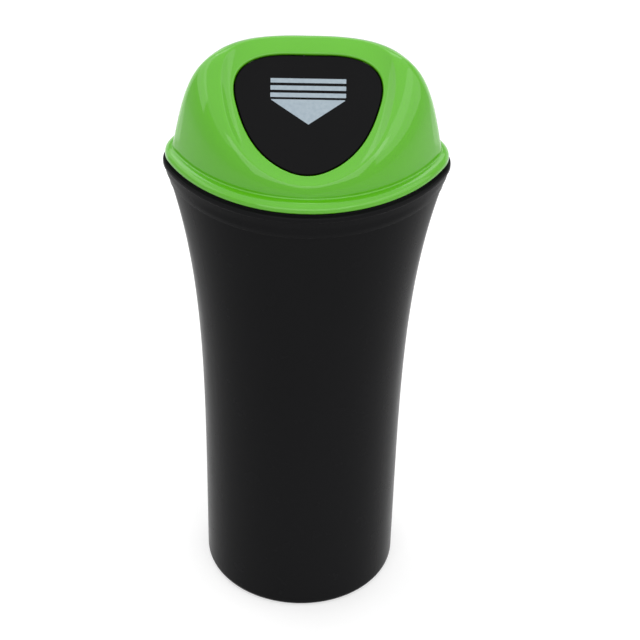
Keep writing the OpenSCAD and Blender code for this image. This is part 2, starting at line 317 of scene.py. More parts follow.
def prism(
    name: str, loops: list[np.ndarray], place: Place, low: float, high: float,
) -> bpy.types.Object:
    """Closed solid over a flat outline with holes, and with its edges softly broken.

    Args:
        name: Name of the new object.
        loops: The outline, and then any holes in it.
        place: Takes flat x, flat y and a height to points in the bin's frame.
        low: Height of its lower face.
        high: Height of its upper face.

    Returns:
        The object, at the origin, with its place in its mesh.
    """
    flat = np.concatenate(loops)
    count = len(flat)
    points = np.concatenate([place(*flat.T, height) for height in (low, high)]) * MM
    cap = np.array(tessellate_polygon([np.pad(loop, ((0, 0), (0, 1))).tolist() for loop in loops]))
    i = np.arange(count)
    starts = np.cumsum([0] + [len(loop) for loop in loops[:-1]])
    following = np.concatenate([
        start + np.roll(np.arange(len(loop)), -1) for start, loop in zip(starts, loops)
    ])
    quads = np.stack([i, following, following + count, i + count], -1)
    mesh = bpy.data.meshes.new(name)
    faces = quads.tolist() + cap.tolist() + (cap[:, ::-1] + count).tolist()
    mesh.from_pydata(points.tolist(), [], faces)
    mesh.validate()
    solid = bmesh.new()
    solid.from_mesh(mesh)
    bmesh.ops.recalc_face_normals(solid, faces=solid.faces)
    solid.to_mesh(mesh)
    solid.free()
    mesh.shade_smooth()
    mesh.set_sharp_from_angle(angle=CORNER_ANGLE)
    piece = placed(name, mesh)
    bevel = piece.modifiers.new("soft_edges", "BEVEL")
    bevel.width, bevel.segments = BROKEN_EDGE * MM, 3
    bevel.limit_method, bevel.angle_limit = "ANGLE", CORNER_ANGLE
    return piece


def wire(name: str, path: np.ndarray, radius: float) -> bpy.types.Object:
    """Round wire along a path that nowhere runs along X.

    Args:
        name: Name of the new object.
        path: Points of its middle line in millimetres.
        radius: Half the wire's thickness.

    Returns:
        The object, at the origin, with its place in its mesh.
    """
    ahead = np.gradient(path, axis=0)
    ahead /= np.linalg.norm(ahead, axis=1, keepdims=True)
    side = np.cross(ahead, [1.0, 0.0, 0.0])
    side /= np.linalg.norm(side, axis=1, keepdims=True)
    other = np.cross(side, ahead)
    x, y = circle(radius, 16).T[:, None, :, None]
    rings = path[:, None] + x * side[:, None] + y * other[:, None]
    return shell(name, rings, Wrap.POLES, sharp=50)


class Nodes:
    """A material's node tree, with short ways to add to it."""

    def __init__(self, name: str) -> None:
        """Makes a new material with an empty Principled surface.

        Args:
            name: Name of the material.
        """
        self.material = bpy.data.materials.new(name)
        self.material.use_nodes = True
        self.tree = self.material.node_tree
        self.surface = self.tree.nodes["Principled BSDF"]
        self.coords = self.add("ShaderNodeTexCoord").outputs["Object"]

    def add(self, kind: str, **values: object) -> bpy.types.Node:
        """Adds a node.

        Args:
            kind: Blender's name of the node type.
            values: Input values by the socket's name, with _ for a space, or properties.

        Returns:
            The node.
        """
        node = self.tree.nodes.new(kind)
        for key, value in values.items():
            socket = node.inputs.get(key.replace("_", " "))
            if socket is None:
                setattr(node, key, value)
            else:
                socket.default_value = value
        return node

    def link(self, source: bpy.types.NodeSocket, target: bpy.types.NodeSocket) -> None:
        """Joins two sockets."""
        self.tree.links.new(source, target)

    def feed(self, name: str, source: bpy.types.NodeSocket) -> None:
        """Joins a socket to the surface's input of that name."""
        self.link(source, self.surface.inputs[name])

    def noise(
        self, per_metre: float, detail: float = 2.0, stretch: Triple = (1, 1, 1),
    ) -> bpy.types.NodeSocket:
        """Noise in the object's own coordinates.

        Args:
            per_metre: Number of its waves in a metre.
            detail: Number of finer layers.
            stretch: Scale of the pattern along X, Y and Z.

        Returns:
            The noise as a value around 0.5.
        """
        mapping = self.add("ShaderNodeMapping")
        mapping.inputs["Scale"].default_value = stretch
        self.link(self.coords, mapping.inputs["Vector"])
        node = self.add("ShaderNodeTexNoise", Scale=per_metre, Detail=detail)
        self.link(mapping.outputs["Vector"], node.inputs["Vector"])
        return node.outputs["Fac"]

    def ranged(self, value: bpy.types.NodeSocket, low: float, high: float) -> bpy.types.NodeSocket:
        """Maps noise, from its usual low to its usual high, to another range.

        Args:
            value: The noise.
            low: Result for the low noise.
            high: Result for the high noise.

        Returns:
            The mapped value.
        """
        node = self.add(
            "ShaderNodeMapRange", From_Min=NOISE_LOW, From_Max=NOISE_HIGH, To_Min=low, To_Max=high,
        )
        self.link(value, node.inputs["Value"])
        return node.outputs["Result"]

    def tint(self, value: bpy.types.NodeSocket, dark: Triple, light: Triple) -> bpy.types.NodeSocket:
        """Blends two colours by noise.

        Args:
            value: The noise.
            dark: Colour for the low noise.
            light: Colour for the high noise.

        Returns:
            The colour.
        """
        ramp = self.add("ShaderNodeValToRGB")
        ends = ((NOISE_LOW, dark), (NOISE_HIGH, light))
        for element, (position, colour) in zip(ramp.color_ramp.elements, ends):
            element.position, element.color = position, (*colour, 1)
        self.link(value, ramp.inputs["Fac"])
        return ramp.outputs["Color"]

    def bump(self, layers: list[tuple[bpy.types.NodeSocket, float]]) -> None:
        """Puts bump layers on the surface, each over the one before.

        Args:
            layers: Pairs of a height value and its depth in millimetres.
        """
        normal = None
        for height, depth in layers:
            node = self.add("ShaderNodeBump", Strength=1.0, Distance=depth * MM)
            self.link(height, node.inputs["Height"])
            if normal is not None:
                self.link(normal, node.inputs["Normal"])
            normal = node.outputs["Normal"]
        self.link(normal, self.surface.inputs["Normal"])


@dataclass(frozen=True)
class MouldedPlastic:
    """Moulded plastic: a colour with faint flow marks, and the mould's fine texture."""

    name: str
    dark: Triple
    light: Triple
    smooth: float
    rough: float
    specular: float
    grain_depth: float
    wave_depth: float
    grain_per_metre: float = 2600.0
    wave_per_metre: float = 55.0
    patch_per_metre: float = 140.0
    flow_per_metre: float = 18.0
    flow_stretch: Triple = (1, 1, 0.35)

    def build(self) -> bpy.types.Material:
        """Makes the material: colour by the flow marks, roughness by patches, and two bumps.

        Returns:
            The material.
        """
        nodes = Nodes(self.name)
        flow = nodes.noise(self.flow_per_metre, detail=3, stretch=self.flow_stretch)
        nodes.feed("Base Color", nodes.tint(flow, self.dark, self.light))
        patches = nodes.noise(self.patch_per_metre, detail=4)
        nodes.feed("Roughness", nodes.ranged(patches, self.smooth, self.rough))
        nodes.surface.inputs["Specular IOR Level"].default_value = self.specular
        grain = nodes.noise(self.grain_per_metre)
        waves = nodes.noise(self.wave_per_metre, detail=1)
        nodes.bump([(waves, self.wave_depth), (grain, self.grain_depth)])
        return nodes.material


@dataclass(frozen=True)
class PadPrint:
    """Pale ink printed on plastic: matt, with thin spots and a slightly raised grain."""

    name: str
    ink: Triple
    thin_ink: Triple
    smooth: float = 0.42
    rough: float = 0.55
    specular: float = 0.3
    spots_per_metre: float = 900.0
    grain_per_metre: float = 3000.0
    grain_depth: float = 0.006

    def build(self) -> bpy.types.Material:
        """Makes the material: colour and roughness by thin spots, and a bump by the grain.

        Returns:
            The material.
        """
        nodes = Nodes(self.name)
        spots = nodes.noise(self.spots_per_metre, detail=3)
        nodes.feed("Base Color", nodes.tint(spots, self.thin_ink, self.ink))
        nodes.feed("Roughness", nodes.ranged(spots, self.smooth, self.rough))
        nodes.surface.inputs["Specular IOR Level"].default_value = self.specular
        nodes.bump([(nodes.noise(self.grain_per_metre), self.grain_depth)])
        return nodes.material


@dataclass(frozen=True)
class DrawnSteel:
    """Bright drawn steel with fine lines along X."""

    name: str
    colour: Triple
    roughness: float
    roughness_spread: tuple[float, float] = (0.8, 1.3)
    dullness: float = 0.75
    lines_per_metre: float = 400.0
    lines_stretch: Triple = (0.1, 8, 8)
    lines_depth: float = 0.004

    def build(self) -> bpy.types.Material:
        """Makes the material: colour, roughness and bump by the drawn lines.

        Returns:
            The material.
        """
        nodes = Nodes(self.name)
        lines = nodes.noise(self.lines_per_metre, detail=3, stretch=self.lines_stretch)
        dull = tuple(self.dullness * c for c in self.colour)
        nodes.feed("Base Color", nodes.tint(lines, dull, self.colour))
        low, high = (self.roughness * share for share in self.roughness_spread)
        nodes.feed("Roughness", nodes.ranged(lines, low, high))
        nodes.surface.inputs["Metallic"].default_value = 1.0
        nodes.bump([(lines, self.lines_depth)])
        return nodes.material


CUP_BLACK = MouldedPlastic(
    "cup_black", dark=(0.0090, 0.0090, 0.0096), light=(0.0104, 0.0104, 0.0111),
    smooth=0.24, rough=0.28, specular=0.027, grain_depth=0.002, wave_depth=0.01,
)
FLAP_BLACK = MouldedPlastic(
    "flap_black", dark=(0.0048, 0.0048, 0.0052), light=(0.0058, 0.0058, 0.0063),
    smooth=0.46, rough=0.54, specular=0.05, grain_depth=0.010, wave_depth=0.01,
)
LID_GREEN = MouldedPlastic(
    "lid_green", dark=(0.092, 0.415, 0.004), light=(0.100, 0.435, 0.006),
    smooth=0.05, rough=0.08, specular=0.5, grain_depth=0.0015, wave_depth=0.05,
)
PRINT_GREY = PadPrint("print_grey", ink=(0.35, 0.42, 0.47), thin_ink=(0.30, 0.365, 0.42))
PIN_STEEL = DrawnSteel("pin_steel", (0.55, 0.55, 0.56), 0.28)
SPRING_STEEL = DrawnSteel("spring_steel", (0.45, 0.45, 0.46), 0.32)


def dress(piece: bpy.types.Object, material: bpy.types.Material) -> None:
    """Gives a piece one material."""
    piece.data.materials.clear()
    piece.data.materials.append(material)


def finish(
    piece: bpy.types.Object, material: bpy.types.Material, body: Body,
) -> None:
    """Dresses a piece, sets it on its body and logs it.

    Args:
        piece: The piece.
        material: Its material.
        body: The body that it moves with.
    """
    dress(piece, material)
    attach(piece, body.value)
    LOG.info("%s: %d faces", piece.name, len(piece.data.polygons))


@dataclass(frozen=True)
class Rim:
    """Sizes that the cup and the lid share where they meet."""

    cup_h: float = 160.0
    step_z: float = 152.8
    lip_a: float = 45.0
    lip_b: float = 32.6
    lip_t: float = 3.0
    rim_h: float = 1.4
    rim_inset: float = 1.6
    groove_h: float = 0.9
    groove_inset: float = 2.0
    bead_inset: float = 0.7
    bead_h: float = 2.7
    bead_low: float = 0.9

    @property
    def seat_z(self) -> float:
        """Height of the rim that the lid rests on."""
        return self.cup_h + self.rim_h

    @property
    def bead_z(self) -> float:
        """Height of the bead's lower edge."""
        return self.seat_z + self.groove_h

    @property
    def dome_z(self) -> float:
        """Height of the dome's base."""
        return self.bead_z + self.bead_h

    def corner(self, radius: float, inset: float, z: float) -> tuple[float, ...]:
        """Corner for turned: its radius, half sizes at an inset from the lip, and height."""
        return radius, self.lip_a - inset, self.lip_b - inset, z


@dataclass
class Cup:
    """The bin's body: a round foot that flares into an oval mouth with a rolled lip."""

    rim: Rim
    foot_r: float = 31.3
    draft: float = 1.8
    flare_power: float = 4.2
    top_a: float = 42.6
    top_b: float = 31.3
    wall: float = 1.8
    floor_t: float = 2.0
    floor_r: float = 3.0
    foot_edge_r: float = 2.2
    foot_recess: float = 1.2
    foot_recess_r: float = 0.6
    foot_ring_w: float = 3.0
    foot_top: float = 7.0
    pole_r: float = 0.4
    step_edge: float = 0.3
    step_rise: float = 0.25
    collar_step: float = 0.55
    collar_turn: float = 1.6
    collar_waist: float = 0.4
    lip_h: float = 0.8
    lip_rise: float = 1.0
    lip_proud: float = 0.55
    lip_r: float = 0.7
    fine_r: float = 0.3
    crease_r: float = 0.15
    skirt_room: float = 8.0

    def wall_sizes(self, z: np.ndarray | float, outset: np.ndarray | float = 0.0) -> np.ndarray:
        """Half sizes of the wall at heights z.

        With u the share of the height, a is the foot's radius plus a straight draft plus a
        power of u, and b is the foot's radius plus the cube of u.

        Args:
            z: Heights.
            outset: Distance outside the wall.

        Returns:
            Rows of a, b and z.
        """
        u = z / self.rim.step_z
        flare = self.top_a - self.foot_r - self.draft
        a = self.foot_r + self.draft * u + flare * u**self.flare_power + outset
        b = self.foot_r + (self.top_b - self.foot_r) * u**3 + outset
        return np.stack([a, b, z], -1)

    def foot(self) -> np.ndarray:
        """Rows of half sizes and height from the middle of the underside to the wall.

        Returns:
            Array of rows by 3.
        """
        ring_in = self.foot_r - self.foot_edge_r - self.foot_ring_w
        recess, recess_r = self.foot_recess, self.foot_recess_r
        return turned([
            (0, self.pole_r, self.pole_r, recess),
            (recess_r, ring_in - recess, ring_in - recess, recess),
            (recess_r, ring_in, ring_in, 0),
            (self.foot_edge_r, self.foot_r, self.foot_r, 0),
            (0, *self.wall_sizes(self.foot_top)),
        ], arc_n=12)

    def collar(self) -> np.ndarray:
        """Rows from below the step, over the collar, the lip and the seat, to the inner wall.

        Returns:
            Array of rows by 3.
        """
        rim, fine, crease = self.rim, self.fine_r, self.crease_r
        low, top = rim.cup_h - self.lip_h, rim.cup_h + self.lip_rise
        skirt_low = rim.cup_h - self.skirt_room
        step = self.wall_sizes(rim.step_z)
        return turned([
            (0, *self.wall_sizes(rim.step_z - 1.0)),
            (crease, *step),
            (fine, *(step + [self.step_edge, self.step_edge, self.step_rise])),
            (2.0, *(step + [self.collar_step, self.collar_step, self.collar_turn])),
            rim.corner(4.0, self.lip_proud + self.collar_waist, (rim.step_z + low) / 2 + 0.5),
            rim.corner(fine, self.lip_proud, low - 0.2),
            rim.corner(fine, 0.05, low + 0.25),
            rim.corner(self.lip_r, 0.0, top),
            rim.corner(crease, rim.rim_inset, top),
            rim.corner(fine, rim.rim_inset, rim.seat_z),
            rim.corner(fine, rim.lip_t, rim.seat_z),
            rim.corner(2.0, rim.lip_t, skirt_low),
            (0, *self.wall_sizes(skirt_low - 4.0, -self.wall)),
        ], arc_n=10)

    def inside(self) -> np.ndarray:
        """Rows from the inner wall, over its rounded foot, to the middle of the floor.

        Returns:
            Array of rows by 3.
        """
        floor_z, r = self.floor_t + self.foot_recess, self.floor_r
        top = self.rim.cup_h - self.skirt_room - 5.0
        wall = self.wall_sizes(np.linspace(top, floor_z + r, 60), -self.wall)
        turn = quarter_turn(10)[1:]
        up, inwards = r * (1 - np.sin(turn)), r * (1 - np.cos(turn))
        edge = self.wall_sizes(floor_z + up, -self.wall - inwards)
        floor = edge[-1] * [[share, share, 1] for share in (0.75, 0.5, 0.25, POLE_SHARE)]
        return np.concatenate([wall, edge, floor])

    def build(self, material: bpy.types.Material) -> None:
        """Builds the cup and lets it stand for its node.

        Args:
            material: The cup's finish.
        """
        outside = self.wall_sizes(np.linspace(self.foot_top + 1.0, self.rim.step_z - 1.2, 120))
        rows = np.concatenate([self.foot(), outside, self.collar(), self.inside()])
        cup = shell("cup", OVAL.rings(filled(rows, longest=2.5), turn_angles()), Wrap.POLES)
        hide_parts("bin_body")
        finish(cup, material, Body.BIN)


@dataclass(frozen=True)
class Opening:
    """Rounded triangular opening in the lid's face, and the face's own coordinates."""

    slope: float = math.radians(40.3)
    top: float = 16.9
    side: float = 21.0
    bottom: float = 22.4
    turn: float = math.radians(16.1)
    sharpness: float = 2.5
    mid: float = 7.47

    def reach(self, t: np.ndarray) -> np.ndarray:
        """Distance of the edge from the middle in the direction t.

        It blends four straight sides: the sum of each side's (cos / distance) to the power of
        the sharpness, to the power of minus one over the sharpness.

        Args:
            t: Directions on the face.

        Returns:
            One distance for each direction.
        """
        facing = np.array([np.pi / 2, -self.turn, np.pi + self.turn, -np.pi / 2])
        distance = np.array([self.top, self.side, self.side, self.bottom])
        pull = (np.maximum(np.cos(t[..., None] - facing), 0) / distance) ** self.sharpness
        return pull.sum(-1) ** (-1 / self.sharpness)

    def outline(self, t: np.ndarray, outset: np.ndarray | float = 0.0) -> np.ndarray:
        """Points of the edge on the face, moved outwards along their rays."""
        r = self.reach(t) + outset
        return np.stack([r * np.cos(t), r * np.sin(t) + self.mid], -1)

    def normal(self) -> np.ndarray:
        """Direction out of the face."""
        return np.array([0, -math.sin(self.slope), math.cos(self.slope)])

    def point(self, u: np.ndarray, v: np.ndarray, n: np.ndarray | float) -> np.ndarray:
        """Point u across the face, v up it and n out of it, from the middle of the dome's base."""
        c, s = math.cos(self.slope), math.sin(self.slope)
        return np.stack(np.broadcast_arrays(u, v * c - n * s, v * s + n * c), -1)


@dataclass
class DomeLid:
    """The lid: a dome with a dished front round the flap's opening, a bead and a plug skirt."""

    rim: Rim
    opening: Opening
    ledge_side: float = 2.3
    ledge_front: float = 3.9
    height: float = 35.6
    square_side: float = 4.1
    square_front: float = 1.8
    lean: float = 5.0
    taper: float = 0.15
    wall: float = 1.8
    face_dist: float = 22.44
    shoulder: float = 12.0
    dish_depth: float = 2.8
    dish_side: float = 6.6
    dish_top: float = 3.8
    dish_bottom: float = 5.2
    dish_curve: float = 1.45
    ridge_r: float = 0.8
    edge_r: float = 0.7
    crease_r: float = 0.4
    skirt_gap: float = 0.3
    skirt_t: float = 1.6
    skirt_h: float = 7.0
    ear_arm: float = 3.2
    ear_root: float = 1.0
    ear_reach: float = 4.5

    @property
    def opening_n(self) -> float:
        """Level of the opening's edge."""
        return self.face_dist - self.dish_depth

    def base_sizes(self, inset: float) -> tuple[float, float]:
        """Half sizes of the dome's base."""
        rim, inside = self.rim, self.rim.bead_inset + inset
        return rim.lip_a - self.ledge_side - inside, rim.lip_b - self.ledge_front - inside

    def skin(self, ray: np.ndarray, inset: float) -> np.ndarray:
        """Points of the dome's skin along rays from the middle of its base.

        With plan the ray's share of the base oval, across its share of the half width and up
        its share of the height, arch is (across^px + up^px)^(1/px), and the skin lies where
        plan^py + arch^py - across^py is 1. It narrows and leans back as it rises. A smooth
        minimum, 1 / (1 + x^k)^(1/k) with x the point's level over the face's, then cuts its
        front.

        Args:
            ray: Directions, any shape by 3.
            inset: Distance inside the outer skin.

        Returns:
            Points of the same shape, measured from the middle of the base.
        """
        a, b = self.base_sizes(inset)
        px, py = self.square_side, self.square_front
        t = np.arctan2(ray[..., 1], ray[..., 0])
        plan = np.hypot(ray[..., 0], ray[..., 1]) / OVAL.reach(a, b, t)
        across = np.abs(ray[..., 0]) / a
        up = np.maximum(ray[..., 2], 0) / (self.height - inset)
        arch = (across**px + up**px) ** (1 / px)
        reach = (plan**py + arch**py - across**py) ** (1 / py)
        x, y, z = np.moveaxis(ray / reach[..., None], -1, 0)
        rise = z / self.height
        w = np.stack([x * (1 - self.taper * rise), y + self.lean * rise**2, z], -1)
        level = np.maximum(w @ self.opening.normal(), 0) / (self.face_dist - inset)
        return w * ((1 + level**self.shoulder) ** (-1 / self.shoulder))[..., None]

    def dome_rings(self, shares: np.ndarray, inset: float, t: np.ndarray) -> np.ndarray:
        """Rings of the skin from the dish's outline to the base.

        Each ray goes to a point that moves straight from the outline to the base's oval.
        Close over the base the skin flares out in a quarter circle, which rounds the crease.

        Args:
            shares: Shares of the way, from 0 at the dish to 1 at the base, rows by angles.
            inset: Distance inside the outer skin.
            t: Angles round the ring.

        Returns:
            Rings in the bin's own frame.
        """
        a, b = self.base_sizes(inset)
        end = np.where(np.sin(t) > 0, self.dish_top, self.dish_bottom)
        width = end + (self.dish_side - end) * np.cos(t) ** 2
        edge = self.opening.outline(t, width)
        start = self.opening.point(edge[:, 0], edge[:, 1], self.face_dist - inset)
        base = np.pad(OVAL.points(a, b, t), ((0, 0), (0, 1)))
        s = shares[..., None]
        points = self.skin(start * (1 - s) + base * s, inset)
        low = np.clip(1 - points[..., 2] / self.crease_r, 0, 1)
        flare = self.crease_r * (1 - np.sqrt(1 - low**2)) * (inset == 0)
        points[..., 0] += flare * np.cos(t)
        points[..., 1] += flare * np.sin(t)
        return points + [0, 0, self.rim.dome_z]

    def dish_rings(self, shares: np.ndarray, inset: float, t: np.ndarray) -> np.ndarray:
        """Rings of the dish, from the opening's edge to the dish's outline.

        The way from edge to outline is straight across the face, and its rise follows the
        share to the power of the dish's curve, which hollows it.

        Args:
            shares: Shares of the way, rows by angles.
            inset: Distance inside the outer skin.
            t: Angles round the ring.

        Returns:
            Rings in the bin's own frame.
        """
        edge = self.edge_rings([(self.edge_r, self.opening_n - inset)], t)
        way = self.dome_rings(np.zeros((1, len(t))), inset, t) - edge
        normal = self.opening.normal()
        s = shares[..., None]
        return edge + way * s - normal * (way @ normal)[..., None] * (s - s**self.dish_curve)

    def edge_rings(self, rows: list[tuple[float, float]], t: np.ndarray) -> np.ndarray:
        """Rings round the opening's wall.

        Args:
            rows: Pairs of outset and level.
            t: Angles round the ring.

        Returns:
            Rings in the bin's own frame.
        """
        face = self.opening
        rings = [face.point(*face.outline(t, outset).T, level) for outset, level in rows]
        return np.array(rings) + [0, 0, self.rim.dome_z]

    def front_rings(self, t: np.ndarray) -> np.ndarray:
        """Rings of the outer skin from the opening to the dome's base, with a rounded ridge.

        The ridge at the dish's outline is a quadratic arc, (1-q)^2 A + 2 q (1-q) P + q^2 C,
        from a point A on the dish to a point C on the dome, with the outline P between them.

        Args:
            t: Angles round the ring.

        Returns:
            Rings in the bin's own frame.
        """
        across = np.ones(len(t))
        way = self.dome_rings(np.linspace(0, 1, 60)[:, None] * across, 0.0, t)
        length = np.linalg.norm(np.diff(way, axis=0), axis=-1).sum(0)
        out = np.minimum(self.ridge_r / length, 0.3)
        back = self.ridge_r / self.dish_side
        dish = self.dish_rings(np.linspace(0, 1 - back, 18)[:, None] * across, 0.0, t)
        dome = self.dome_rings(out + (1 - out) * cosine_steps(120)[:, None], 0.0, t)
        q = np.linspace(0, 1, 9)[1:-1, None, None]
        ridge = (1 - q) ** 2 * dish[-1] + 2 * q * (1 - q) * way[0] + q**2 * dome[0]
        return np.concatenate([dish, ridge, dome])

    def rim_rings(self, t: np.ndarray) -> np.ndarray:
        """Rings of the bead, the groove and the plug skirt, from the crease inwards.

        The bead's top is a quarter ellipse: its inset grows by the ledge times 1 - cos of the
        turn, and its height by the bead's height times sin of the turn.

        Args:
            t: Angles round the ring.

        Returns:
            Rings in the bin's own frame.
        """
        rim = self.rim
        foot = rim.cup_h - self.skirt_h
        plug = rim.lip_t + self.skirt_gap
        inner = plug + self.skirt_t
        turn = quarter_turn(13)[::-1]
        ledge = np.array([self.ledge_side, self.ledge_front]) - self.crease_r
        size = [rim.lip_a, rim.lip_b] - (rim.bead_inset + ledge * (1 - np.cos(turn))[:, None])
        height = rim.bead_z + rim.bead_low + (rim.bead_h - rim.bead_low) * np.sin(turn)
        corners = [
            *np.column_stack([0 * turn, size, height]),
            rim.corner(0.45, rim.bead_inset, rim.bead_z),
            rim.corner(0.15, rim.groove_inset, rim.bead_z),
            rim.corner(0, rim.groove_inset, rim.seat_z),
            rim.corner(0.2, plug, rim.seat_z),
            rim.corner(0.4, plug, foot + 1),
            rim.corner(0.3, plug + 0.5, foot),
            rim.corner(0.3, inner, foot),
            rim.corner(0.8, inner, rim.bead_z),
            (0, *self.base_sizes(self.wall), rim.dome_z),
        ]
        return OVAL.rings(filled(turned(corners, arc_n=9), longest=1.2)[1:-1], t)

    def ear(self, side: int, flap: "PushFlap") -> bpy.types.Object:
        """Ear under the lid that holds one end of the hinge pin.

        Its outline is an arc round the pin, an arm up the face and a root in the shell, swept
        across the ear's thickness.

        Args:
            side: -1 on the left and 1 on the right.
            flap: The flap, which gives the hinge's place.

        Returns:
            The ear.
        """
        r = flap.barrel_r
        top = self.opening.top - flap.gap + self.ear_reach - (flap.pin_v - self.opening.mid)
        deep = self.opening_n - self.wall + self.ear_root - flap.pin_n
        arc = np.linspace(np.pi / 2, 1.5 * np.pi, 33)
        outline = np.concatenate([
            np.stack([r * np.cos(arc), r * np.sin(arc)], -1),
            [[top, -r], [top, deep], [top - self.ear_arm, deep], [top - self.ear_arm, r]],
        ])
        ends = sorted((side * flap.ear_u, side * flap.pin_l / 2))
        loops = [outline, circle(flap.pin_d / 2)]
        return prism(f"lid_ear_{SIDES[side]}", loops, flap.across_pin(), *ends)

    def build(self, material: bpy.types.Material, flap: "PushFlap") -> None:
        """Builds the lid with its ears and lets it stand for its node.

        Args:
            material: The lid's finish.
            flap: The flap, which gives the hinge's place.
        """
        t = turn_angles()
        level, r = self.opening_n, self.edge_r
        arc = quarter_turn(7)[:-1]
        front = [(0.0, level - 1.2), *zip(r * (1 - np.cos(arc)), level - r * (1 - np.sin(arc)))]
        inside = np.ones(len(t))
        rings = np.concatenate([
            self.edge_rings(front, t),
            self.front_rings(t),
            self.rim_rings(t),
            self.dome_rings(cosine_steps(60)[::-1, None] * inside, self.wall, t),
            self.dish_rings(np.linspace(0.9, 0.1, 8)[:, None] * inside, self.wall, t),
            self.edge_rings([(0.0, level - self.wall)], t),
        ])
        lid = shell("lid", rings, Wrap.LOOP)
        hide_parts("lid_shell")
        for piece in (lid, *[self.ear(side, flap) for side in SIDES]):
            finish(piece, material, Body.LID)


@dataclass
class PushFlap:
    """The flap: a plate in the opening's outline, with hinge barrels and stop tabs behind it."""

    rim: Rim
    opening: Opening
    level: float = 19.24
    thick: float = 1.8
    gap: float = 0.4
    edge_r: float = 0.35
    pin_d: float = 2.0
    pin_l: float = 37.0
    pin_clearance: float = 0.07
    barrel_wall: float = 1.1
    web_in: float = 0.2
    pin_drop: float = 4.6
    ear_gap: float = 0.5
    ear_t: float = 2.0
    side_gap: float = 0.5
    spring_space: float = 5.2
    tab_level: float = 17.54
    tab_w: float = 5.0
    tab_t: float = 1.2
    tab_reach: float = 1.2
    tab_root: float = 3.0
    tab_turns: tuple[float, float] = (-42.0, -138.0)

    @property
    def barrel_r(self) -> float:
        """Outer radius of the hinge barrels."""
        return self.pin_d / 2 + self.barrel_wall

    @property
    def pin_n(self) -> float:
        """Level of the pin's axis."""
        return self.level - self.thick - self.ear_gap - self.barrel_r

    @property
    def pin_v(self) -> float:
        """Height of the pin's axis up the face."""
        return self.opening.mid + self.opening.top - self.gap - self.pin_drop

    @property
    def ear_u(self) -> float:
        """Distance of the ears' inner faces from the middle."""
        return self.pin_l / 2 - self.ear_t

    def on_face(self) -> Place:
        """Places an outline drawn on the face, with heights out of it."""
        up = np.array([0, 0, self.rim.dome_z])
        return lambda x, y, h: self.opening.point(x, y, h) + up

    def across_pin(self) -> Place:
        """Places an outline drawn across the pin, from its axis, with heights along it."""
        up = np.array([0, 0, self.rim.dome_z])
        return lambda x, y, h: self.opening.point(h, x + self.pin_v, y + self.pin_n) + up

    def plate(self) -> bpy.types.Object:
        """The plate: rings of the outline, shrunk to a pole on each face, with rounded edges.

        Returns:
            The plate.
        """
        t = turn_angles()
        r = self.edge_r
        arc = quarter_turn(7)
        inner = -self.gap - r
        top, low = self.level, self.level - self.thick
        shrink = (POLE_SHARE, 0.25, 0.5, 0.75, 0.92)
        rows = [
            *[(s, inner, top) for s in shrink],
            *[(1.0, inner + r * math.sin(a), top - r * (1 - math.cos(a))) for a in arc],
            *[(1.0, inner + r * math.cos(a), low + r * (1 - math.sin(a))) for a in arc],
            *[(s, inner, low) for s in shrink[::-1]],
        ]
        centre = np.array([0, self.opening.mid])
        rings = []
        for share, outset, level in rows:
            flat = centre + (self.opening.outline(t, outset) - centre) * share
            rings.append(self.on_face()(flat[:, 0], flat[:, 1], level))
        return shell("flap", np.array(rings), Wrap.POLES)

    def barrel(self, side: int) -> bpy.types.Object:
        """Hinge barrel with its bore and the web that joins it to the plate.

        Args:
            side: -1 on the left and 1 on the right.

        Returns:
            The barrel.
        """
        r = self.barrel_r
        arc = np.linspace(np.pi, 2 * np.pi, 41)
        web = self.level - self.thick - self.pin_n + self.web_in
        outline = np.concatenate([
            np.stack([r * np.cos(arc), r * np.sin(arc)], -1), [[r, web], [-r, web]],
        ])
        ends = sorted((side * self.spring_space / 2, side * (self.ear_u - self.side_gap)))
        loops = [outline, circle(self.pin_d / 2 + self.pin_clearance)]
        return prism(f"flap_barrel_{SIDES[side]}", loops, self.across_pin(), *ends)

    def tab(self, turn: float) -> bpy.types.Object:
        """Stop tab that reaches behind the edge of the opening.

        Args:
            turn: Its direction from the opening's middle, in degrees.

        Returns:
            The tab.
        """
        angle = math.radians(turn)
        reach = float(self.opening.reach(np.array(angle)))
        across = np.array([-0.5, 0.5, 0.5, -0.5]) * self.tab_w
        root = -self.tab_root - self.gap
        along = np.array([root, root, self.tab_reach, self.tab_reach]) + reach
        c, s = math.cos(angle), math.sin(angle)
        outline = np.stack([along * c - across * s, along * s + across * c + self.opening.mid], -1)
        levels = self.tab_level - self.tab_t, self.tab_level
        return prism(f"flap_tab_{SIDES[1 if c > 0 else -1]}", [outline], self.on_face(), *levels)

    def build(self, material: bpy.types.Material) -> None:
        """Builds the flap and lets it stand for its node.

        Args:
            material: The flap's finish.
        """
        plate = self.plate()
        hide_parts("push_flap")
        barrels = [self.barrel(side) for side in SIDES]
        for piece in (plate, *barrels, *[self.tab(turn) for turn in self.tab_turns]):
            finish(piece, material, Body.FLAP)


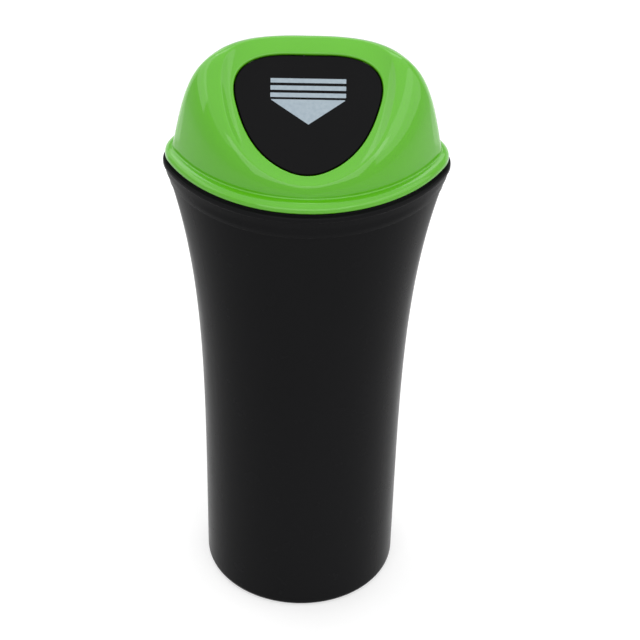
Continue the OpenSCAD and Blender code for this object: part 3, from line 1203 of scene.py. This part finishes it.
@dataclass
class FlapPrint:
    """Plain print on the flap: a triangle that points to the push side, under three stripes."""

    flap: PushFlap
    half_w: float = 11.6
    triangle_top: float = 2.5
    triangle_tip: float = -5.4
    tip_shift: float = 0.2
    stripe_h: float = 1.4
    stripe_pitch: float = 2.3
    stripe_low: float = 3.2
    stripe_n: int = 3
    film: float = 0.03
    corner_r: float = 0.12

    def slab(self, corners: list[tuple[float, float]]) -> np.ndarray:
        """Rings of a thin slab on the flap, from the middle of its underside to that of its top.

        Args:
            corners: Corners on the face, measured from the opening's middle.

        Returns:
            Rings of points.
        """
        flat = np.array(corners, float)
        closed = np.concatenate([(flat[-1:] + flat[:1]) / 2, flat, (flat[-1:] + flat[:1]) / 2])
        radii = np.full(len(closed), self.corner_r)
        loop = rounded(closed, radii, 6)[:-1]
        centre = loop.mean(0)
        low, high = self.flap.level, self.flap.level + self.film
        rings = []
        for share, n in ((POLE_SHARE, low), (1.0, low), (1.0, high), (POLE_SHARE, high)):
            at = centre + (loop - centre) * share + [0, self.flap.opening.mid]
            rings.append(self.flap.on_face()(at[:, 0], at[:, 1], n))
        return np.array(rings)

    def build(self, material: bpy.types.Material) -> None:
        """Builds the print.

        Args:
            material: The ink.
        """
        w, top = self.half_w, self.triangle_top
        shapes = {"print_triangle": [(-w, top), (self.tip_shift, self.triangle_tip), (w, top)]}
        for i in range(self.stripe_n):
            low = self.stripe_low + i * self.stripe_pitch
            high = low + self.stripe_h
            shapes[f"print_stripe_{i + 1}"] = [(-w, low), (w, low), (w, high), (-w, high)]
        for name, corners in shapes.items():
            finish(shell(name, self.slab(corners), Wrap.POLES, sharp=40), material, Body.FLAP)


@dataclass
class HingePin:
    """The steel pin, which keeps its own solid."""

    node: str = "hinge_pin"

    def dress(self, material: bpy.types.Material) -> None:
        """Gives the pin its steel.

        Args:
            material: Drawn steel rod.
        """
        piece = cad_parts[self.node]
        dress(piece, material)
        piece.data.shade_smooth()


@dataclass
class ReturnSpring:
    """The return spring: a coil with a leg under the lid, and a last turn and leg under the flap."""

    flap: PushFlap
    lid: DomeLid
    wire_d: float = 0.5
    turns: int = 5
    turn_gap: float = 0.1
    end_room: float = 0.15
    pin_room: float = 0.35
    leg_gap: float = 0.1
    lid_gap: float = 0.7
    flap_leg: float = 9.0
    lid_past: float = 1.2
    end_gap: float = 0.02
    turn_n: int = 48
    step: float = 0.3

    @property
    def coil_r(self) -> float:
        """Radius of the coil's middle line."""
        return self.flap.pin_d / 2 + self.pin_room + self.wire_d / 2

    def coil(self, first: float, last: float, shift: float = 0.0) -> np.ndarray:
        """Middle line of part of the coil, measured from the pin's middle.

        Args:
            first: Turn at which it starts, 0 at the lid's leg.
            last: Turn at which it ends.
            shift: Distance that it is moved along the pin.

        Returns:
            Rows of the distance up the face, the height above the pin and the place along it.
        """
        turn = np.linspace(first, last, int((last - first) * self.turn_n) + 1)
        angle = (turn + 0.25) * math.tau
        along = (turn - self.turns / 2) * (self.wire_d + self.turn_gap) + shift
        return np.stack([self.coil_r * np.cos(angle), self.coil_r * np.sin(angle), along], -1)

    def build(self, material: bpy.types.Material) -> None:
        """Builds the lid's part, which stands for the node, and the part that turns with the flap.

        Args:
            material: Spring wire.
        """
        flap, lid = self.flap, self.lid
        top = flap.pin_n + self.coil_r + self.wire_d / 2
        lid_rise = lid.opening_n - lid.wall - self.lid_gap - top
        flap_rise = flap.level - flap.thick - top - self.leg_gap
        last = self.turns - 1
        fixed = self.coil(0.0, last - self.end_gap)
        moving = self.coil(last + self.end_gap, self.turns, self.end_room)
        lid_end = fixed[:1] + [flap.pin_drop + flap.gap + self.lid_past, lid_rise, 0.0]
        flap_end = moving[-1:] + [-self.flap_leg, flap_rise, 0.0]
        paths = {
            "spring_coil": (np.concatenate([lid_end, fixed]), Body.LID, "spring_steel"),
            "spring_flap_leg": (np.concatenate([moving, flap_end]), Body.FLAP, None),
        }
        for name, (path, body, slot) in paths.items():
            piece = wire(name, flap.across_pin()(*filled(path, self.step).T), self.wire_d / 2)
            if slot:
                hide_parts("return_spring")
            finish(piece, material, body)


@dataclass(frozen=True)
class Softbox:
    """A soft lamp: its place seen from the bin, azimuth 0 behind it and 90 on its right."""

    name: str
    azimuth: float
    elevation: float
    distance: float
    width: float
    height: float
    radiance: float
    aim_z: float = 0.12


SOFTBOXES = (
    Softbox("lamp_top", 180.0, 86.0, 1.35, 2.9, 2.9, 0.6),
    Softbox("lamp_front", 180.0, 32.0, 1.4, 1.6, 1.0, 1.5),
    Softbox("lamp_left", -75.0, 38.0, 1.2, 1.3, 0.6, 1.2),
    Softbox("lamp_right", 112.0, 36.0, 1.2, 1.3, 0.9, 1.0),
    Softbox("lamp_behind", 0.0, 50.0, 1.2, 1.4, 0.5, 1.6),
    Softbox("lamp_back_left", -44.0, 5.0, 0.36, 0.32, 0.30, 0.8),
    Softbox("lamp_back_right", 44.0, 5.0, 0.36, 0.32, 0.30, 0.7),
)


@dataclass
class Studio:
    """Pale floor, white surroundings, soft lamps and the camera of the photograph."""

    floor_radius: float = 1.0
    floor_colour: Triple = (0.62, 0.62, 0.62)
    floor_roughness: float = 0.9
    floor_specular: float = 0.1
    floor_lift: float = 0.43
    sky_light: float = 0.34
    lens: float = 168.75
    sensor: float = 36.0
    camera_back: float = 0.7726
    camera_up: float = 0.6933
    camera_turn: float = math.radians(-0.2212)
    pitch: float = math.radians(37.642)
    yaw: float = math.radians(0.3903)
    roll: float = math.radians(1.3474)

    def seen(self, tree: bpy.types.NodeTree) -> bpy.types.NodeSocket:
        """Value that is 1 for camera, glossy and transmitted rays, and 0 for the others.

        Args:
            tree: The node tree that it is added to.

        Returns:
            The value.
        """
        path = tree.nodes.new("ShaderNodeLightPath")
        total = path.outputs["Is Camera Ray"]
        for name in ("Is Glossy Ray", "Is Transmission Ray"):
            add = tree.nodes.new("ShaderNodeMath")
            add.operation, add.use_clamp = "ADD", True
            tree.links.new(total, add.inputs[0])
            tree.links.new(path.outputs[name], add.inputs[1])
            total = add.outputs[0]
        return total

    def floor(self) -> None:
        """Adds a round floor whose colour shows near white, and which keeps the bin's shadow."""
        mesh = bpy.data.meshes.new("floor")
        edge = np.pad(circle(self.floor_radius, 96), ((0, 0), (0, 1)))
        mesh.from_pydata(edge.tolist(), [], [list(range(len(edge)))])
        floor = placed("floor", mesh)
        nodes = Nodes("floor_pale")
        nodes.surface.inputs["Base Color"].default_value = (*self.floor_colour, 1)
        nodes.surface.inputs["Roughness"].default_value = self.floor_roughness
        nodes.surface.inputs["Specular IOR Level"].default_value = self.floor_specular
        nodes.surface.inputs["Emission Color"].default_value = (1, 1, 1, 1)
        lift = nodes.add("ShaderNodeMath", operation="MULTIPLY")
        lift.inputs[1].default_value = self.floor_lift
        nodes.link(self.seen(nodes.tree), lift.inputs[0])
        nodes.feed("Emission Strength", lift.outputs[0])
        dress(floor, nodes.material)

    def world(self) -> None:
        """White surroundings at full strength where they are seen, and softer as light."""
        world = bpy.data.worlds.new("studio")
        bpy.context.scene.world = world
        world.use_nodes = True
        tree = world.node_tree
        background = tree.nodes["Background"]
        background.inputs["Color"].default_value = (1, 1, 1, 1)
        strength = tree.nodes.new("ShaderNodeMapRange")
        strength.inputs["To Min"].default_value = self.sky_light
        strength.inputs["To Max"].default_value = 1.0
        tree.links.new(self.seen(tree), strength.inputs["Value"])
        tree.links.new(strength.outputs["Result"], background.inputs["Strength"])

    def add_lamp(self, lamp: Softbox) -> None:
        """Adds a soft rectangular lamp that faces the bin and isn't seen by the camera itself.

        Its place is the middle of the bin plus its distance in the direction of its azimuth
        and elevation, and its power is its radiance times pi times its area.

        Args:
            lamp: Its sizes and place.
        """
        light = bpy.data.lights.new(lamp.name, "AREA")
        light.shape, light.size, light.size_y = "RECTANGLE", lamp.width, lamp.height
        light.energy = lamp.radiance * math.pi * lamp.width * lamp.height
        turn, lift = math.radians(lamp.azimuth), math.radians(lamp.elevation)
        level = math.cos(lift)
        out = Vector((math.sin(turn) * level, math.cos(turn) * level, math.sin(lift)))
        piece = placed(lamp.name, light)
        piece.location = Vector((0, 0, lamp.aim_z)) + lamp.distance * out
        piece.rotation_mode = "QUATERNION"
        piece.rotation_quaternion = (-out).to_track_quat("-Z", "Y")
        piece.visible_camera = False

    def camera(self) -> None:
        """Sets the camera where the photograph was taken from.

        It stands back from the bin's axis and above the floor, looks down by the pitch, turns
        by the yaw and rolls about its own line of sight.
        """
        data = bpy.data.cameras.new("camera")
        data.lens, data.sensor_width = self.lens, self.sensor
        data.clip_start, data.clip_end = 0.01, 20.0
        camera = placed("camera", data)
        turn, look, back = self.camera_turn, self.yaw - self.camera_turn, self.camera_back
        place = Vector((back * math.sin(turn), -back * math.cos(turn), self.camera_up))
        level = math.cos(self.pitch)
        ahead = Vector((math.sin(look) * level, math.cos(look) * level, -math.sin(self.pitch)))
        right = ahead.cross(Vector((0, 0, 1))).normalized()
        up = right.cross(ahead)
        c, s = math.cos(self.roll), math.sin(self.roll)
        axes = Matrix((right * c + up * s, up * c - right * s, -ahead)).transposed()
        camera.matrix_world = Matrix.Translation(place) @ axes.to_4x4()
        bpy.context.scene.camera = camera

    def build(self) -> None:
        """Builds the floor, the surroundings, the lamps and the camera."""
        self.floor()
        self.world()
        for lamp in SOFTBOXES:
            self.add_lamp(lamp)
        self.camera()
        bpy.context.scene.view_settings.view_transform = "Standard"


def main() -> None:
    """Builds the studio and every sub-assembly, in order."""
    logging.basicConfig(level=logging.INFO, format="%(name)s %(message)s")
    rim, opening = Rim(), Opening()
    Studio().build()
    Cup(rim).build(CUP_BLACK.build())
    flap = PushFlap(rim, opening)
    lid = DomeLid(rim, opening)
    lid.build(LID_GREEN.build(), flap)
    flap.build(FLAP_BLACK.build())
    FlapPrint(flap).build(PRINT_GREY.build())
    HingePin().dress(PIN_STEEL.build())
    ReturnSpring(flap, lid).build(SPRING_STEEL.build())


if __name__ == "__main__":
    main()
